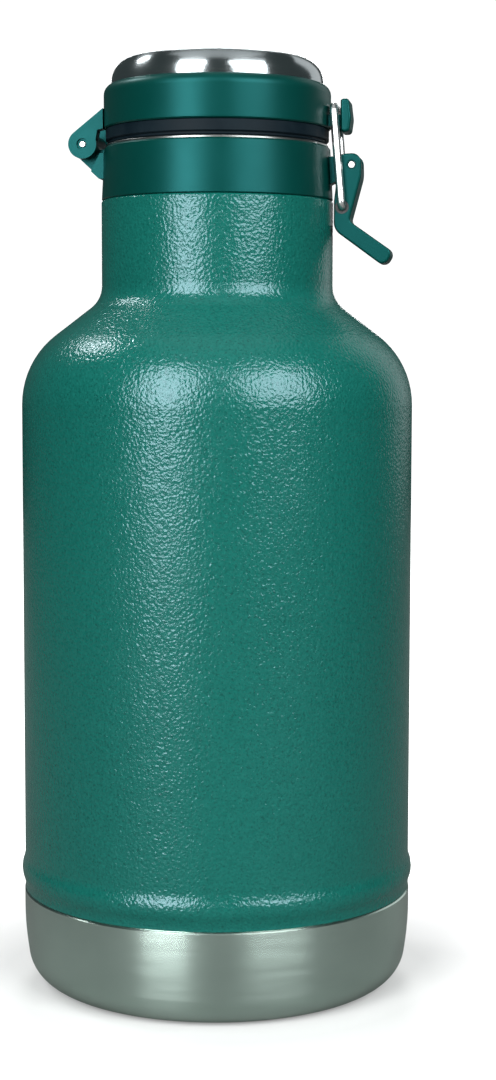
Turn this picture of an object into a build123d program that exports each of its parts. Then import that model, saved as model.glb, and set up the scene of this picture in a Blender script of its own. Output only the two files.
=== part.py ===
from build123d import *
import math
import os

# A vacuum-insulated steel growler of about 1.9 litres with a hinged, wire-latched lid.
# Millimetres. The origin is the centre of the foot, +Z is up, +X points at the latch and
# -X at the hinge. Every turned piece is drawn as (radius, height) and spun about Z.

# ---- bottle -------------------------------------------------------------------------
BODY_R = 62.0            # painted cylinder
WALL = 0.9               # outer sheet
SHELL_FOOT = 30.75       # lower edge of the painted shell
BEAD_LOW, BEAD_HIGH = 31.6, 42.1
BEAD_OUT = 1.0           # the rolled bead stands this far off the cylinder
SHOULDER_Z = 185.2       # top of the straight cylinder
SHOULDER_R = 27.6        # convex arc of the shoulder
SHOULDER_TURN = 52.3     # degrees
NECK_FLARE_R = 8.6       # concave arc into the neck
NECK_R = 36.6
INNER_INSET = 5.8        # inner vessel's outside below the outer shell's outside
INNER_WALL = 0.8
INNER_FOOT = 13.0        # underside of the inner vessel
INNER_CORNER = 12.0
INNER_WELD = 26.0        # the drawn bottom meets the inner tube here

# ---- foot ---------------------------------------------------------------------------
CUP_R = 62.2
CUP_TOP = 30.4
CUP_BEND_Z = 25.5
CUP_SIDE_ARC = 100.8
CUP_SIDE_TURN = 9.27     # degrees
FOOT_RING_IN = 44.5      # inner edge of the ring the bottle stands on
RECESS_R, RECESS_Z = 43.3, 2.6
PORT_R = 3.2             # evacuation port, closed by a seal

# ---- neck fittings ------------------------------------------------------------------
STEP_Z = 249.2           # the shell steps in here to carry the collar
STEP_R = 34.2
MOUTH_Z = 266.5          # top of the steel mouth
LIP_R = 35.0
LIP_T = 0.65
COLLAR_LOW_R, COLLAR_HIGH_R = 36.5, 35.65
COLLAR_IN = 34.3
COLLAR_Z = (249.35, MOUTH_Z - LIP_T - 0.05)
RIDGE_Z = 257.0

# ---- lid ----------------------------------------------------------------------------
BAND_R = 35.8
BAND_Z = (271.5, 285.1)
CAP_R = 33.35
CAP_TOP = 293.5
CAP_CORNER = 7.4
CAP_T = 0.8
PLUG_R = 28.5
PLUG_FOOT = 256.0
GASKET_R = 35.2
GASKET_FOOT = MOUTH_Z + 0.2

# ---- hinge, at (x, z) ---------------------------------------------------------------
HINGE = (-41.2, 266.7)
HINGE_PIN_R = 1.15
RUN = 0.05               # radial running clearance
EAR_R = 4.5
EAR_IN, EAR_OUT = 6.4, 11.0
KNUCKLE_R = 4.3
KNUCKLE_Y = 6.1

# ---- latch, at (x, z) ---------------------------------------------------------------
PIVOT = (43.0, 259.9)    # lever on collar
EYE = (40.1, 246.9)      # bail in lever
BAR = (37.35, 277.8)     # bail over keeper
WIRE_R = 1.3
WIRE_BEND = 1.5
WIRE_TIP = 2.9           # the wire's ends stop this far from the middle plane
LEG_Y = 7.05
PIVOT_PIN_R = 1.25
LUG_R, LUG_Y = 2.8, 3.1
LEVER_Y = 5.6
BUSH_R, BUSH_FLANGE_R = 1.8, 2.1
BUSH_IN, BUSH_OUT = 2.6, 5.55
FLANGE_T = 0.5
KNOB_X = (39.4, 42.7)
KNOB_Z = (270.0, 280.2)
KNOB_Y = 5.3
NECK_Y = 4.4             # the keeper's neck, under the bar
NECK_Z = (271.9, 275.45)


def polar(centre, radius, degrees):
    angle = math.radians(degrees)
    return centre[0] + radius * math.cos(angle), centre[1] + radius * math.sin(angle)


def face(*pieces):
    """A closed face from lines and arcs drawn in (x, z)."""
    return make_face([edge for piece in pieces for edge in piece.edges()])


def spin(flat):
    """The turned piece whose half section is this face."""
    return revolve(Plane.XZ * flat, Axis.Z)


def turned(*points):
    """The turned piece whose half section is this polygon."""
    return spin(face(Polyline(*points, close=True)))


def slab(flat, half):
    """A plate with this (x, z) outline, centred on y = 0."""
    return extrude(Plane.XZ * flat, half, both=True)


def rod(at, radius, y_low, y_high):
    """A round bar along Y through the (x, z) place."""
    start = Plane(origin=(at[0], y_low, at[1]), x_dir=(1, 0, 0), z_dir=(0, 1, 0))
    return extrude(start * Circle(radius), y_high - y_low)


def both_sides(at, radius, y_in, y_out):
    """Two equal round bars along Y, one on each side of the middle plane."""
    return rod(at, radius, y_in, y_out) + rod(at, radius, -y_out, -y_in)


def box(x, y, z):
    """A block from its low and high coordinates."""
    size = [high - low for low, high in (x, y, z)]
    centre = [(high + low) / 2 for low, high in (x, y, z)]
    return Pos(*centre) * Box(*size)


# ---- the bottle's side, at any depth under its outer surface -------------------------

def bead_curve(inset):
    """The rolled bead: a concave arc, the crest and a second concave arc."""
    half = (BEAD_HIGH - BEAD_LOW) / 2
    radius = (half ** 2 + BEAD_OUT ** 2) / (4 * BEAD_OUT)
    turn = math.degrees(math.asin(half / (2 * radius)))
    crest = (BODY_R + BEAD_OUT - radius, BEAD_LOW + half)
    low, high = (BODY_R + radius, BEAD_LOW), (BODY_R + radius, BEAD_HIGH)
    return [
        CenterArc(low, radius + inset, 180, -turn),
        CenterArc(crest, radius - inset, -turn, 2 * turn),
        CenterArc(high, radius + inset, 180 + turn, -turn),
    ]


def shoulder_curve(inset):
    """The shoulder from the cylinder to the neck, and the height where the neck starts."""
    turn = math.radians(SHOULDER_TURN)
    centre = (BODY_R - SHOULDER_R, SHOULDER_Z)
    drop = BODY_R - SHOULDER_R + SHOULDER_R * math.cos(turn)
    drop -= NECK_R + NECK_FLARE_R * (1 - math.cos(turn))
    slope = drop / math.sin(turn)
    neck_z = SHOULDER_Z + (SHOULDER_R + NECK_FLARE_R) * math.sin(turn) + slope * math.cos(turn)
    flare = (NECK_R + NECK_FLARE_R, neck_z)
    start = polar(centre, SHOULDER_R - inset, SHOULDER_TURN)
    end = polar(flare, NECK_FLARE_R + inset, 180 + SHOULDER_TURN)
    curve = [
        CenterArc(centre, SHOULDER_R - inset, 0, SHOULDER_TURN),
        Line(start, end),
        CenterArc(flare, NECK_FLARE_R + inset, 180 + SHOULDER_TURN, -SHOULDER_TURN),
    ]
    return curve, neck_z


def outer_shell():
    """Painted sheet: bead, cylinder, shoulder, neck, and the step under the collar."""
    outside, neck_z = shoulder_curve(0)
    inside, _ = shoulder_curve(WALL)
    r, r_in = BODY_R, BODY_R - WALL
    ridge = [(STEP_R, RIDGE_Z - 1.0), (STEP_R + 0.7, RIDGE_Z - 0.4),
             (STEP_R + 0.7, RIDGE_Z + 0.4), (STEP_R, RIDGE_Z + 1.0)]
    return spin(face(
        Line((r_in, SHELL_FOOT), (r, SHELL_FOOT)), Line((r, SHELL_FOOT), (r, BEAD_LOW)),
        *bead_curve(0), Line((r, BEAD_HIGH), (r, SHOULDER_Z)), *outside,
        Polyline((NECK_R, neck_z), (NECK_R, STEP_Z - 0.5), (NECK_R - 0.5, STEP_Z),
                 (STEP_R, STEP_Z), *ridge, (STEP_R, MOUTH_Z - LIP_T),
                 (STEP_R - WALL, MOUTH_Z - LIP_T), (STEP_R - WALL, STEP_Z - WALL),
                 (NECK_R - WALL, STEP_Z - WALL), (NECK_R - WALL, neck_z)),
        *inside, Line((r_in, BEAD_HIGH), (r_in, SHOULDER_Z)), *bead_curve(WALL),
        Line((r_in, SHELL_FOOT), (r_in, BEAD_LOW)),
    ))


def cup_curve(inset):
    """The foot's side: a slow inward arc and the corner, ending flat on the ground."""
    side = (CUP_R - CUP_SIDE_ARC, CUP_BEND_Z)
    end = polar(side, CUP_SIDE_ARC, -CUP_SIDE_TURN)
    corner_r = end[1] / (1 - math.sin(math.radians(CUP_SIDE_TURN)))
    corner = (polar(end, corner_r, 180 - CUP_SIDE_TURN)[0], corner_r)
    curve = [
        CenterArc(side, CUP_SIDE_ARC - inset, 0, -CUP_SIDE_TURN),
        CenterArc(corner, corner_r - inset, -CUP_SIDE_TURN, CUP_SIDE_TURN - 90),
    ]
    return curve, corner[0]


def base_cup():
    """Bare steel foot, stepped at the top to slip inside the shell under the bead."""
    outside, flat_r = cup_curve(0)
    inside, _ = cup_curve(WALL)
    spigot = BODY_R - WALL - 0.05
    spigot_top = BEAD_HIGH + 3
    return spin(face(
        *outside,
        Polyline((flat_r, 0), (FOOT_RING_IN, 0), (RECESS_R, RECESS_Z), (PORT_R, RECESS_Z),
                 (PORT_R, RECESS_Z + WALL), (RECESS_R + 0.6, RECESS_Z + WALL),
                 (FOOT_RING_IN + 0.6, WALL), (flat_r, WALL)),
        *inside,
        Polyline((CUP_R - WALL, CUP_BEND_Z), (CUP_R - WALL, CUP_TOP - WALL),
                 (spigot - WALL, CUP_TOP - WALL / 2), (spigot - WALL, spigot_top),
                 (spigot, spigot_top), (spigot, CUP_TOP), (CUP_R - 0.4, CUP_TOP),
                 (CUP_R, CUP_TOP - 0.4), (CUP_R, CUP_BEND_Z)),
    ))


def base_cover_disc():
    """Thin disc that hides the evacuation port, pressed up into the recess."""
    r = RECESS_R - 0.5
    return turned((0, RECESS_Z - 1), (r - 0.4, RECESS_Z - 1), (r, RECESS_Z - 0.6),
                  (r, RECESS_Z), (0, RECESS_Z))


def vacuum_seal():
    """Headed plug that closes the evacuation port from inside the vacuum space."""
    top = RECESS_Z + WALL
    return turned((0, RECESS_Z + 0.05), (PORT_R - 0.05, RECESS_Z + 0.05), (PORT_R - 0.05, top),
                  (5.0, top), (4.6, top + 0.8), (0, top + 0.8))


def getter():
    """Pellet under the inner vessel that keeps the vacuum clean."""
    return turned((0, INNER_FOOT - 2.0), (6.5, INNER_FOOT - 2.0), (7.0, INNER_FOOT - 1.5),
                  (7.0, INNER_FOOT), (0, INNER_FOOT))


def inner_vessel():
    """Tube, shoulder, neck and the mouth, rolled out into the lip the gasket seals on."""
    outside, neck_z = shoulder_curve(INNER_INSET)
    inside, _ = shoulder_curve(INNER_INSET + INNER_WALL)
    r, r_in = BODY_R - INNER_INSET, BODY_R - INNER_INSET - INNER_WALL
    neck, bore = NECK_R - INNER_INSET, NECK_R - INNER_INSET - INNER_WALL
    roll = 2.0
    roll_centre = (bore + roll, MOUTH_Z - roll)
    return spin(face(
        Line((r, INNER_WELD), (r, SHOULDER_Z)), *outside,
        Line((neck, neck_z), (neck, MOUTH_Z - roll)),
        CenterArc(roll_centre, roll - INNER_WALL, 180, -90),
        Polyline((bore + roll, MOUTH_Z - INNER_WALL), (STEP_R - WALL - 0.2, MOUTH_Z - INNER_WALL),
                 (STEP_R - WALL - 0.2, MOUTH_Z - LIP_T), (LIP_R, MOUTH_Z - LIP_T),
                 (LIP_R, MOUTH_Z - 0.2), (LIP_R - 0.2, MOUTH_Z), (bore + roll, MOUTH_Z)),
        CenterArc(roll_centre, roll, 90, 90),
        Line((bore, MOUTH_Z - roll), (bore, neck_z)), *inside,
        Line((r_in, SHOULDER_Z), (r_in, INNER_WELD)), Line((r_in, INNER_WELD), (r, INNER_WELD)),
    ))


def inner_vessel_bottom():
    """Deep-drawn dish welded to the lower end of the inner tube."""
    r, r_in = BODY_R - INNER_INSET, BODY_R - INNER_INSET - INNER_WALL
    corner = (r - INNER_CORNER, INNER_FOOT + INNER_CORNER)
    floor = INNER_FOOT + INNER_WALL
    return spin(face(
        Polyline((r_in, corner[1]), (r_in, INNER_WELD), (r, INNER_WELD), (r, corner[1])),
        CenterArc(corner, INNER_CORNER, 0, -90),
        Polyline((corner[0], INNER_FOOT), (0, INNER_FOOT), (0, floor), (corner[0], floor)),
        CenterArc(corner, INNER_CORNER - INNER_WALL, -90, 90),
    ))


# ---- neck fittings -------------------------------------------------------------------

def hinge_lug():
    """Knuckle of the collar, with its buttress and a wider foot against the collar."""
    x, z = HINGE
    tangent = polar(HINGE, KNUCKLE_R, -132.8)
    arm = face(Polyline((x, z), tangent, (-36.2, 256.2), (-34.8, 256.2), (-34.8, 265.4),
                        (-37.2, 265.4), close=True))
    foot = face(Polyline((-36.1, 264.0), (-38.9, 258.4), (-36.4, 256.1), (-34.8, 256.1),
                         (-34.8, 264.0), close=True))
    return slab(arm, KNUCKLE_Y) + rod(HINGE, KNUCKLE_R, -KNUCKLE_Y, KNUCKLE_Y) + slab(foot, 9.0)


def lever_lug():
    """Bracket of the collar that the lever's cheeks straddle."""
    x, z = PIVOT
    arm = face(Polyline((x, z + LUG_R), (35.4, z + LUG_R), (35.4, z - 6.2),
                        polar(PIVOT, LUG_R, -115), (x, z), close=True))
    return slab(arm, LUG_Y) + rod(PIVOT, LUG_R, -LUG_Y, LUG_Y)


def neck_collar():
    """Green ring locked on the neck, carrying the hinge knuckle and the lever bracket."""
    low, high = COLLAR_Z
    groove = COLLAR_IN + 1.0
    ring = turned(
        (COLLAR_IN, low + 1.2), (COLLAR_IN + 1.4, low + 1.2), (COLLAR_IN + 1.4, low),
        (COLLAR_LOW_R - 0.3, low), (COLLAR_LOW_R, low + 0.3), (COLLAR_HIGH_R, high - 0.5),
        (COLLAR_HIGH_R - 0.5, high), (COLLAR_IN, high), (COLLAR_IN, RIDGE_Z + 2.6),
        (groove, RIDGE_Z + 2.6), (groove, RIDGE_Z - 1.2), (COLLAR_IN, RIDGE_Z - 1.2))
    core = turned((0, low - 5), (groove, low - 5), (groove, high + 5), (0, high + 5))
    lugs = hinge_lug() - rod(HINGE, HINGE_PIN_R + RUN, -20, 20)
    lugs += lever_lug() - rod(PIVOT, PIVOT_PIN_R, -20, 20)
    return ring + (lugs - core)


def collar_seal():
    """Soft ring between the collar's foot and the step of the shell."""
    low = STEP_Z + 0.02
    return turned((STEP_R + 0.2, low), (COLLAR_IN + 1.3, low), (COLLAR_IN + 1.3, low + 1.25),
                  (STEP_R + 0.2, low + 1.25))


def collar_lock_ring():
    """Open spring ring above the shell's ridge that keeps the collar from lifting off."""
    low = RIDGE_Z + 1.15
    ring = turned((STEP_R + 0.1, low), (STEP_R + 1.0, low), (STEP_R + 1.0, low + 1.2),
                  (STEP_R + 0.1, low + 1.2))
    return ring - box((0, 50), (-4, 4), (low - 1, low + 3))


def lever_pin():
    """Fixed in the collar's bracket; the lever turns on its two ends."""
    end = LEVER_Y - 0.1
    pin = rod(PIVOT, PIVOT_PIN_R, -end, end)
    pin = chamfer(pin.edges().filter_by(GeomType.CIRCLE), 0.3)
    return pin - both_sides(PIVOT, 0.35, end - 0.3, end + 1)


# ---- lid -----------------------------------------------------------------------------

def hinge_ears():
    """The lid's two ears, bored for the pin and counterbored at its ends."""
    x, z = HINGE
    arm = face(Polyline((x, z), polar(HINGE, EAR_R, 128), (-34.6, 277.7), (-34.6, 271.5),
                        (-36.4, 271.0), (-37.0, z + 1.0), close=True))
    ears = slab(arm, EAR_OUT) + rod(HINGE, EAR_R, -EAR_OUT, EAR_OUT)
    ears -= box((x - 9, -20), (-EAR_IN, EAR_IN), (z - 9, z + 14))
    ears -= rod(HINGE, HINGE_PIN_R, -20, 20)
    ears -= both_sides(HINGE, HINGE_PIN_R + 0.65, EAR_OUT - 0.8, EAR_OUT + 1)
    return ears


def keeper():
    """Short neck and rounded knob that hold the bail's bar."""
    (x0, x1), (z0, z1) = KNOB_X, KNOB_Z
    outline = face(FilletPolyline(
        (x0, z0), (x0, z1 - 0.2), (x0 + 1.0, z1 + 0.1), (x1 - 0.6, z1), (x1 + 0.1, 274.4),
        (x1 - 0.5, z0), radius=[0.9, 0.7, 1.0, 1.2, 4.0, 1.3], close=True))
    knob = slab(outline, KNOB_Y)
    ends = knob.faces().sort_by(Axis.Y)
    knob = fillet(ends[0].edges() + ends[-1].edges(), 0.85)
    return knob + box((34.8, x0 + 1), (-NECK_Y, NECK_Y), NECK_Z)


def lid_band():
    """Green lid body: rim, floor, hinge ears and keeper."""
    low, high = BAND_Z
    bore = CAP_R + 0.1
    round_r, round_turn = 3.3, 71
    centre = (BAND_R - round_r, 282.0)
    top = polar(centre, round_r, round_turn)
    rim = spin(face(
        Polyline((BAND_R, centre[1]), (BAND_R, low + 0.4), (BAND_R - 0.4, low), (0, low),
                 (0, low + 2.5), (bore, low + 2.5), (bore, top[1]), top),
        CenterArc(centre, round_r, 0, round_turn),
    ))
    core = turned((0, low - 9), (BAND_R - 0.8, low - 9), (BAND_R - 0.8, high + 5), (0, high + 5))
    return rim + ((hinge_ears() + keeper()) - core)


def lid_cap():
    """Polished steel cap, drawn from sheet, its skirt sunk in the band."""
    centre = (CAP_R - CAP_CORNER, CAP_TOP - CAP_CORNER)
    foot = BAND_Z[0] + 4.5
    inner = CAP_CORNER - CAP_T
    return spin(face(
        Polyline((CAP_R - CAP_T, centre[1]), (CAP_R - CAP_T, foot), (CAP_R, foot),
                 (CAP_R, centre[1])),
        CenterArc(centre, CAP_CORNER, 0, 90),
        Polyline((centre[0], CAP_TOP), (0, CAP_TOP), (0, CAP_TOP - CAP_T),
                 (centre[0], CAP_TOP - CAP_T)),
        CenterArc(centre, inner, 90, -90),
    ))


def lid_insulation():
    """Foam disc that fills the cap."""
    low = BAND_Z[0] + 2.55
    centre = (CAP_R - CAP_CORNER, CAP_TOP - CAP_CORNER)
    gap = CAP_CORNER - CAP_T - 0.1
    return spin(face(
        Polyline((centre[0], centre[1] + gap), (0, centre[1] + gap), (0, low),
                 (centre[0] + gap, low), (centre[0] + gap, centre[1])),
        CenterArc(centre, gap, 0, 90),
    ))


def lid_plug():
    """Hollow plug under the band that fills the mouth."""
    top, inner = BAND_Z[0], PLUG_R - 1.8
    floor = PLUG_FOOT + 1.8
    return turned((0, PLUG_FOOT), (PLUG_R - 1.5, PLUG_FOOT), (PLUG_R, PLUG_FOOT + 1.5),
                  (PLUG_R, top), (inner, top), (inner, floor), (0, floor))


def plug_insulation():
    """Foam inside the plug."""
    inner, floor = PLUG_R - 1.9, PLUG_FOOT + 1.85
    return turned((0, floor), (inner, floor), (inner, BAND_Z[0] - 0.1), (0, BAND_Z[0] - 0.1))


def plug_liner():
    """Steel disc on the plug's face, so that only steel meets the drink."""
    low = PLUG_FOOT - 0.6
    return turned((0, low), (25.4, low), (26.0, low + 0.3), (26.0, PLUG_FOOT), (0, PLUG_FOOT))


def lid_gasket():
    """Black sealing ring around the plug, with a narrow lip above the mouth."""
    top = BAND_Z[0] - 0.05
    lip = GASKET_FOOT + 1.0
    return turned((PLUG_R + 0.1, top), (GASKET_R - 0.3, top), (GASKET_R, top - 0.3),
                  (GASKET_R, lip + 0.3), (GASKET_R - 0.3, lip), (GASKET_R - 0.8, lip),
                  (GASKET_R - 0.8, GASKET_FOOT + 0.3), (GASKET_R - 1.1, GASKET_FOOT),
                  (31.6, GASKET_FOOT), (30.6, lip), (PLUG_R + 0.1, lip))


def hinge_pin():
    """Fixed in the lid's ears; it turns in the collar's knuckle."""
    end = EAR_OUT - 0.4
    pin = rod(HINGE, HINGE_PIN_R, -end, end)
    return chamfer(pin.edges().filter_by(GeomType.CIRCLE), 0.35)


# ---- latch ---------------------------------------------------------------------------

def latch_lever():
    """Over-centre lever: two cheeks on the pivot, a solid waist and a bent finger tail."""
    side = face(FilletPolyline(
        (39.2, 263.2), (45.9, 263.7), (46.1, 256.5), (42.4, 242.6), (56.1, 233.0),
        (53.4, 228.3), (37.5, 239.9), (37.5, 248.5),
        radius=[1.6, 3.0, 9.0, 1.6, 2.3, 2.3, 4.6, 8.0], close=True))
    lever = slab(side, LEVER_Y)
    sides = lever.faces().sort_by(Axis.Y)
    lever = fillet(sides[0].edges() + sides[-1].edges(), 0.7)
    # the channel that clears the collar's bracket all the way up
    reach, half = LUG_R + 0.4, LUG_Y + 0.25
    lever -= rod(PIVOT, reach, -half, half)
    lever -= box((30, PIVOT[0] + reach), (-half, half), (PIVOT[1], 280))
    lever -= box((30, PIVOT[0]), (-half, half), (PIVOT[1] - 7.4, PIVOT[1] + 1))
    lever -= rod(PIVOT, PIVOT_PIN_R + RUN, -20, 20)
    lever -= both_sides(PIVOT, PIVOT_PIN_R + 0.35, LEVER_Y - 0.3, 20)
    lever -= both_sides(EYE, BUSH_R + RUN, BUSH_IN - 0.1, 20)
    return lever - both_sides(EYE, BUSH_FLANGE_R + RUN, BUSH_OUT - FLANGE_T - RUN, 20)


def bail_bushes():
    """Two flanged bushes in the lever's eyes that the wire's ends turn in."""
    bushes = both_sides(EYE, BUSH_R, BUSH_IN, BUSH_OUT)
    bushes += both_sides(EYE, BUSH_FLANGE_R, BUSH_OUT - FLANGE_T, BUSH_OUT)
    return bushes - rod(EYE, WIRE_R + RUN, -20, 20)


def bail_wire():
    """Steel wire bail: one bar over the keeper, two legs, two ends turned in."""
    route = FilletPolyline(
        (EYE[0], -WIRE_TIP, EYE[1]), (EYE[0], -LEG_Y, EYE[1]), (BAR[0], -LEG_Y, BAR[1]),
        (BAR[0], LEG_Y, BAR[1]), (EYE[0], LEG_Y, EYE[1]), (EYE[0], WIRE_TIP, EYE[1]),
        radius=[WIRE_BEND, 2.4, 2.4, WIRE_BEND])
    start = Plane(origin=(EYE[0], -WIRE_TIP, EYE[1]), x_dir=(1, 0, 0), z_dir=(0, -1, 0))
    return sweep(start * Circle(WIRE_R), path=route)


PARTS = [
    outer_shell, base_cup, base_cover_disc, vacuum_seal, getter, inner_vessel,
    inner_vessel_bottom, neck_collar, collar_seal, collar_lock_ring, lever_pin,
    lid_band, lid_cap, lid_insulation, lid_plug, plug_insulation, plug_liner, lid_gasket,
    hinge_pin, latch_lever, bail_bushes, bail_wire,
]

os.makedirs("parts", exist_ok=True)
for make in PARTS:
    export_step(make(), f"parts/{make.__name__}.step")
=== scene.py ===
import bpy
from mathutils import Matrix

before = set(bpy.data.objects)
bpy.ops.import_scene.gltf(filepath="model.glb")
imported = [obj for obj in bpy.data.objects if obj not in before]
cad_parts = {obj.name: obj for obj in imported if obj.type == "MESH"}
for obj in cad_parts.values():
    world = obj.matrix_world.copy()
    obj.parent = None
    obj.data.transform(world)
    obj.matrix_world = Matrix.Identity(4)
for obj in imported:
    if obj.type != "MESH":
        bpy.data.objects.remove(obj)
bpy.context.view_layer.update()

import math

import bpy
from mathutils import Quaternion, Vector

# Everything is in metres, in the CAD model's own frame.

# ---- camera: in front, a little to the latch's side and above the middle ---------------
CAMERA_DISTANCE = 0.6487
CAMERA_HEIGHT = 0.19976
CAMERA_SIDE = math.radians(9.0)      # turned from -Y towards +X
CAMERA_TILT = math.radians(5.109)    # downwards
CAMERA_PAN = math.radians(0.873)     # to the right of the bottle's axis
CAMERA_ROLL = math.radians(0.11)
CAMERA_LENS = 67.56                  # mm, on a sensor this wide
CAMERA_SENSOR = 36.0
CAMERA_CLIP = (0.01, 50.0)

# ---- floor, room and lights' aim -------------------------------------------------------
FLOOR_SIZE = 30.0
FLOOR_TONES = ((0.50, 0.50, 0.50), (0.52, 0.52, 0.52))   # as the camera sees it
FLOOR_BOUNCE = (0.15, 0.155, 0.15)   # as light and reflections meet it
FLOOR_GLOW = (0.24, 1.1)             # near the bottle, and towards the horizon
GLOW_SPREAD = (0.07, 0.17)           # from the axis, over which the glow grows
BACKDROP = 1.1                       # the world as the camera sees it
ROOM = 0.06                          # and as the bottle sees it
ROOM_TINT = (0.80, 1.0, 1.0, 1)
WHITE = (1, 1, 1, 1)
AIM = Vector((0, 0, 0.16))           # the middle of the bottle, where every light points

# ---- colours, linear ------------------------------------------------------------------
PAINT = (0.0020, 0.0800, 0.0640)
PAINT_DARK = (0.0005, 0.0400, 0.0320)
PAINT_LIGHT = (0.0050, 0.1060, 0.0850)
PAINT_GLOSS = (0.62, 0.86, 1.0)
PLASTIC = (0.0001, 0.0270, 0.0220)
PLASTIC_GLOSS = (0.15, 0.88, 0.94)
FOOT_STEEL = (0.68, 0.84, 0.77)
CAP_STEEL = (0.56, 0.62, 0.64)
INNER_STEEL = (0.34, 0.36, 0.355)
WIRE_STEEL = (0.72, 0.74, 0.74)

# ---- relief and texture ---------------------------------------------------------------
# A texture's scale is roughly its features to the metre: 1000 puts them about 1 mm apart.
PEEL_DEPTH = 0.00017                 # the paint's pebbles
GRAIN_DEPTH = 0.000015               # the green moulding's grain
FINE_DEPTH = 0.00001                 # turned rings, rubber and the plain mouldings
FOAM_DEPTH = 0.0002
MIDDLE = (0.3, 0.7)                  # the middle of a noise's range, stretched over a ramp
MIX_A, MIX_B, MIX_RESULT = 6, 7, 2   # a Mix node's colour sockets


def add_camera():
    data = bpy.data.cameras.new("camera")
    data.sensor_fit = "AUTO"
    data.sensor_width = CAMERA_SENSOR
    data.lens = CAMERA_LENS
    data.clip_start, data.clip_end = CAMERA_CLIP
    camera = bpy.data.objects.new("camera", data)
    bpy.context.scene.collection.objects.link(camera)
    camera.location = (CAMERA_DISTANCE * math.sin(CAMERA_SIDE),
                       -CAMERA_DISTANCE * math.cos(CAMERA_SIDE), CAMERA_HEIGHT)
    heading = CAMERA_SIDE - CAMERA_PAN
    look = Vector((-math.sin(heading) * math.cos(CAMERA_TILT),
                   math.cos(heading) * math.cos(CAMERA_TILT), -math.sin(CAMERA_TILT)))
    roll = Quaternion((0, 0, 1), CAMERA_ROLL)
    camera.rotation_euler = (look.to_track_quat("-Z", "Y") @ roll).to_euler()
    bpy.context.scene.camera = camera


# ---- node helpers ---------------------------------------------------------------------

class Tree:
    """A material's node tree, with one short call for each node."""

    def __init__(self, name):
        self.material = bpy.data.materials.new(name)
        self.material.use_nodes = True
        self.tree = self.material.node_tree
        self.tree.nodes.clear()
        self.out = self.add("ShaderNodeOutputMaterial")
        self.place = self.add("ShaderNodeTexCoord").outputs["Object"]

    def add(self, kind, **settings):
        node = self.tree.nodes.new(kind)
        for key, value in settings.items():
            setattr(node, key, value)
        return node

    def join(self, source, socket):
        self.tree.links.new(source, socket)

    def fill(self, sockets, values):
        """Links or sets one socket after another."""
        for socket, value in zip(sockets, values):
            if isinstance(value, bpy.types.NodeSocket):
                self.join(value, socket)
            else:
                socket.default_value = value

    def feed(self, node, **values):
        """Links or sets sockets by name, with _ standing for a space."""
        self.fill([node.inputs[key.replace("_", " ")] for key in values], values.values())
        return node

    def stretched(self, scale):
        return self.feed(self.add("ShaderNodeMapping"), Vector=self.place,
                         Scale=scale).outputs["Vector"]

    def noise(self, scale, detail=2.0, roughness=0.5, vector=None):
        node = self.add("ShaderNodeTexNoise")
        self.feed(node, Vector=vector or self.place, Scale=scale, Detail=detail,
                  Roughness=roughness)
        return node.outputs["Fac"]

    def cells(self, scale):
        node = self.add("ShaderNodeTexVoronoi", feature="F1")
        return self.feed(node, Vector=self.place, Scale=scale).outputs["Distance"]

    def ramp(self, source, low, high, to_low=0.0, to_high=1.0):
        node = self.add("ShaderNodeMapRange")
        self.fill(node.inputs, (source, low, high, to_low, to_high))
        return node.outputs["Result"]

    def math(self, operation, *values):
        node = self.add("ShaderNodeMath", operation=operation)
        self.fill(node.inputs, values)
        return node.outputs["Value"]

    def mix(self, factor, a, b):
        node = self.add("ShaderNodeMix", data_type="RGBA")
        ends = [(*end, 1.0) if isinstance(end, tuple) else end for end in (a, b)]
        self.fill((node.inputs["Factor"], node.inputs[MIX_A], node.inputs[MIX_B]), (factor, *ends))
        return node.outputs[MIX_RESULT]

    def bump(self, height, depth, strength=1.0):
        return self.feed(self.add("ShaderNodeBump"), Height=height, Distance=depth,
                         Strength=strength).outputs["Normal"]

    def surface(self, **values):
        shader = self.feed(self.add("ShaderNodeBsdfPrincipled"), **values)
        self.join(shader.outputs["BSDF"], self.out.inputs["Surface"])
        return self.material


# ---- materials ------------------------------------------------------------------------

def hammertone_paint():
    """Thick enamel with a pebbled orange-peel skin, mottled, with fine darker specks scattered at
    random.
    """
    t = Tree("hammertone_green")
    peel = t.noise(1080.0, 1.0, 0.4)
    ridge = t.math("ABSOLUTE", t.math("SUBTRACT", t.noise(740.0, 1.0, 0.4), 0.5))
    fine = t.noise(2900.0, 2.0, 0.5)
    height = t.math("MULTIPLY_ADD", ridge, -1.2, peel)
    height = t.math("MULTIPLY_ADD", fine, 0.12, height)
    mottle = t.ramp(t.noise(900.0, 3.0, 0.6), 0.32, 0.68)
    # fine darker specks from a noise of their own, not placed in the relief's hollows
    dark_specks = t.ramp(t.noise(1500.0, 2.0, 0.55), 0.30, 0.45, 1.0, 0.0)
    slow = t.ramp(t.noise(14.0, 2.0, 0.5), *MIDDLE, 0.0, 0.35)
    colour = t.mix(mottle, PAINT, PAINT_LIGHT)
    colour = t.mix(t.math("MULTIPLY", dark_specks, 0.75), colour, PAINT_DARK)
    colour = t.mix(slow, colour, PAINT_LIGHT)
    rough = t.ramp(t.noise(60.0, 4.0, 0.6), *MIDDLE, 0.18, 0.23)
    return t.surface(Base_Color=colour, Roughness=rough, IOR=1.6,
                     Specular_Tint=(*PAINT_GLOSS, 1.0), Normal=t.bump(height, PEEL_DEPTH))


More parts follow.
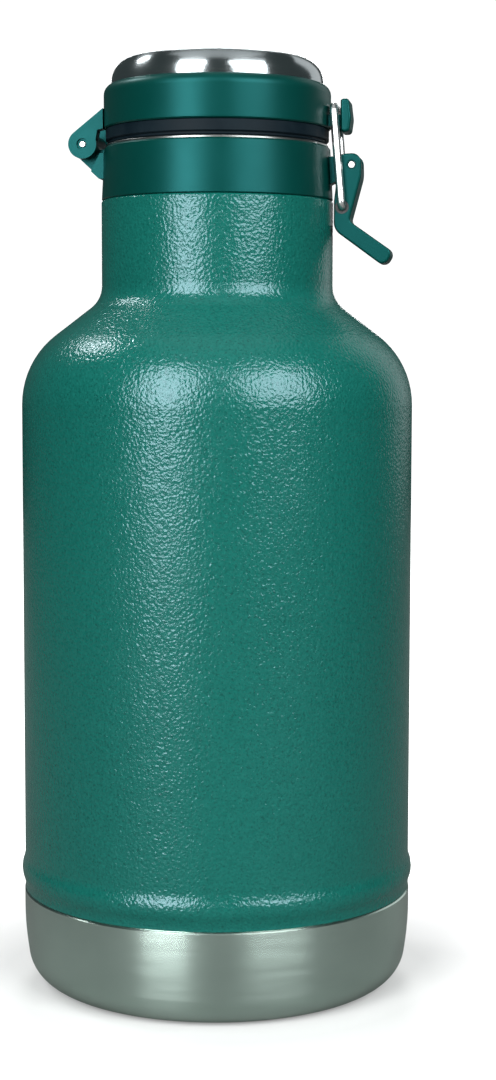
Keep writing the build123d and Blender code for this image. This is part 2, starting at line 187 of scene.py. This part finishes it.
def moulded_plastic():
    """Satin green moulding: faint spark-eroded grain and slow gloss changes."""
    t = Tree("satin_green")
    grain = t.noise(2200.0, 2.0, 0.6)
    slow = t.noise(35.0, 3.0, 0.5)
    colour = t.mix(t.ramp(slow, *MIDDLE), PLASTIC, tuple(1.15 * c for c in PLASTIC))
    rough = t.ramp(t.noise(90.0, 4.0, 0.65), *MIDDLE, 0.34, 0.40)
    return t.surface(Base_Color=colour, Roughness=rough, IOR=1.43,
                     Specular_Tint=(*PLASTIC_GLOSS, 1.0), Normal=t.bump(grain, GRAIN_DEPTH, 0.5))


def brushed_steel(name, colour, rough_low, rough_high, grain, anisotropy):
    """Steel turned on a lathe: fine rings round the axis, bands of gloss and faint stains."""
    t = Tree(name)
    rings = t.noise(1.0, 3.0, 0.7, vector=t.stretched((60.0, 60.0, grain)))
    broad = t.noise(1.0, 2.0, 0.6, vector=t.stretched((25.0, 25.0, grain / 8)))
    stain = t.noise(45.0, 4.0, 0.6)
    tint = t.mix(t.ramp(stain, 0.35, 0.75), colour, tuple(0.9 * c for c in colour))
    rough = t.ramp(broad, *MIDDLE, rough_low, rough_high)
    tangent = t.add("ShaderNodeTangent", direction_type="RADIAL", axis="Z")
    return t.surface(Base_Color=tint, Metallic=1.0, Roughness=rough, Anisotropic=anisotropy,
                     Anisotropic_Rotation=0.25, Tangent=tangent.outputs["Tangent"],
                     Normal=t.bump(rings, FINE_DEPTH, 0.3))


def bright_wire():
    """Drawn and polished wire, its gloss streaked as if finely scratched."""
    t = Tree("bright_steel")
    scratch = t.noise(1.0, 2.0, 0.6, vector=t.stretched((900.0, 900.0, 60.0)))
    rough = t.ramp(scratch, *MIDDLE, 0.24, 0.32)
    return t.surface(Base_Color=(*WIRE_STEEL, 1.0), Metallic=1.0, Roughness=rough)


def rubber():
    """Matt black silicone with a dusty bloom."""
    t = Tree("black_rubber")
    bloom = t.ramp(t.noise(120.0, 5.0, 0.65), 0.4, 0.75)
    colour = t.mix(bloom, (0.002, 0.007, 0.011), (0.005, 0.012, 0.017))
    return t.surface(Base_Color=colour, Roughness=t.ramp(bloom, 0.0, 1.0, 0.5, 0.62),
                     Specular_IOR_Level=0.1,
                     Normal=t.bump(t.noise(3000.0, 2.0), FINE_DEPTH, 0.4))


def plain_plastic(name, colour, rough):
    """Mouldings and small parts that hardly show."""
    t = Tree(name)
    tone = t.mix(t.noise(80.0, 3.0), colour, tuple(0.8 * c for c in colour))
    gloss = t.ramp(t.noise(200.0, 3.0), *MIDDLE, rough, rough + 0.1)
    return t.surface(Base_Color=tone, Roughness=gloss,
                     Normal=t.bump(t.noise(1800.0, 2.0), FINE_DEPTH, 0.4))


def foam():
    """Closed-cell foam."""
    t = Tree("white_foam")
    cell = t.cells(1600.0)
    colour = t.mix(t.ramp(cell, 0.1, 0.6), (0.62, 0.60, 0.52), (0.80, 0.78, 0.70))
    return t.surface(Base_Color=colour, Roughness=0.9, Normal=t.bump(cell, FOAM_DEPTH, 0.8))


def dress_nodes():
    paint, plastic, black = hammertone_paint(), moulded_plastic(), rubber()
    cup = brushed_steel("brushed_steel", FOOT_STEEL, 0.21, 0.26, 2600.0, 0.9)
    inner = brushed_steel("plain_steel", INNER_STEEL, 0.30, 0.38, 1500.0, 0.5)
    cap = brushed_steel("polished_steel", CAP_STEEL, 0.18, 0.22, 2200.0, 0.9)
    wire, dark = bright_wire(), plain_plastic("black_plastic", (0.02, 0.022, 0.024), 0.42)
    pale = foam()
    looks = {
        paint: ["outer_shell"],
        plastic: ["neck_collar", "lid_band", "latch_lever"],
        cup: ["base_cup", "base_cover_disc"],
        inner: ["inner_vessel", "inner_vessel_bottom", "plug_liner", "collar_lock_ring"],
        cap: ["lid_cap"],
        wire: ["bail_wire", "lever_pin", "hinge_pin"],
        black: ["lid_gasket", "collar_seal"],
        dark: ["lid_plug", "bail_bushes"],
        pale: ["lid_insulation", "plug_insulation"],
        plain_plastic("seal_resin", (0.5, 0.48, 0.42), 0.4): ["vacuum_seal"],
        plain_plastic("getter_grey", (0.2, 0.2, 0.2), 0.6): ["getter"],
    }
    for material, nodes in looks.items():
        for node in nodes:
            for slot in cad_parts[node].material_slots:
                slot.material = material


# ---- studio ---------------------------------------------------------------------------

def toward(angle, distance, height):
    """A place round the bottle, with the angle counted from the camera, right positive."""
    side = CAMERA_SIDE + math.radians(angle)
    return Vector((distance * math.sin(side), -distance * math.cos(side), height))


def softbox(name, angle, distance, height, size, power):
    data = bpy.data.lights.new(name, "AREA")
    data.shape = "RECTANGLE"
    data.size, data.size_y = size
    data.energy = power
    lamp = bpy.data.objects.new(name, data)
    bpy.context.scene.collection.objects.link(lamp)
    lamp.location = toward(angle, distance, height)
    lamp.rotation_euler = (AIM - lamp.location).to_track_quat("-Z", "Y").to_euler()
    lamp.visible_camera = False


def add_floor():
    """White table top. To the camera it glows, and more so further out, so that it stays white
    to the horizon. Light and reflections meet a darker grey with no glow."""
    bpy.ops.mesh.primitive_plane_add(size=FLOOR_SIZE, location=(0, 0, 0))
    floor = bpy.context.object
    floor.name = "studio_floor"
    t = Tree("studio_floor")
    seen = t.add("ShaderNodeLightPath").outputs["Is Camera Ray"]
    tone = t.mix(t.noise(3.0, 2.0), *FLOOR_TONES)
    tone = t.mix(seen, FLOOR_BOUNCE, tone)
    away = t.add("ShaderNodeVectorMath", operation="LENGTH")
    t.join(t.place, away.inputs[0])
    glow = t.ramp(away.outputs["Value"], *GLOW_SPREAD, *FLOOR_GLOW)
    glow = t.math("MULTIPLY", seen, glow)
    t.surface(Base_Color=tone, Roughness=0.7, Specular_IOR_Level=0.1,
              Emission_Color=WHITE, Emission_Strength=glow)
    floor.data.materials.append(t.material)


def add_world():
    """White behind the bottle, and a dim, slightly cyan room for it to reflect."""
    world = bpy.data.worlds.new("studio")
    bpy.context.scene.world = world
    world.use_nodes = True
    nodes, links = world.node_tree.nodes, world.node_tree.links
    nodes.clear()
    path = nodes.new("ShaderNodeLightPath")
    seen, room = nodes.new("ShaderNodeBackground"), nodes.new("ShaderNodeBackground")
    seen.inputs["Color"].default_value = WHITE
    seen.inputs["Strength"].default_value = BACKDROP
    room.inputs["Color"].default_value = ROOM_TINT
    room.inputs["Strength"].default_value = ROOM
    mix, out = nodes.new("ShaderNodeMixShader"), nodes.new("ShaderNodeOutputWorld")
    links.new(path.outputs["Is Camera Ray"], mix.inputs[0])
    links.new(room.outputs[0], mix.inputs[1])
    links.new(seen.outputs[0], mix.inputs[2])
    links.new(mix.outputs[0], out.inputs["Surface"])


def add_studio():
    add_floor()
    add_world()
    # name, angle, distance, height of the middle, (width, height), radiance
    for name, angle, distance, height, size, radiance in (
        ("key_left", -30.0, 1.3, 0.73, (0.66, 1.24), 10.6),
        ("key_right", 36.0, 1.3, 0.845, (0.92, 0.95), 8.8),
        ("rim_left", -122.0, 1.15, 1.35, (0.25, 0.25), 26.0),
        ("fill_right", 136.0, 1.4, 0.7, (0.8, 1.3), 0.6),
        ("back", 179.0, 1.6, 0.9, (0.5, 1.4), 7.0),
        ("overhead", 0.0, 0.1, 1.9, (1.5, 1.5), 0.45),
    ):
        power = radiance * math.pi * size[0] * size[1]
        softbox(name, angle, distance, height, size, power)
    scene = bpy.context.scene
    scene.view_settings.view_transform = "Standard"
    scene.view_settings.look = "None"


add_camera()
dress_nodes()
add_studio()
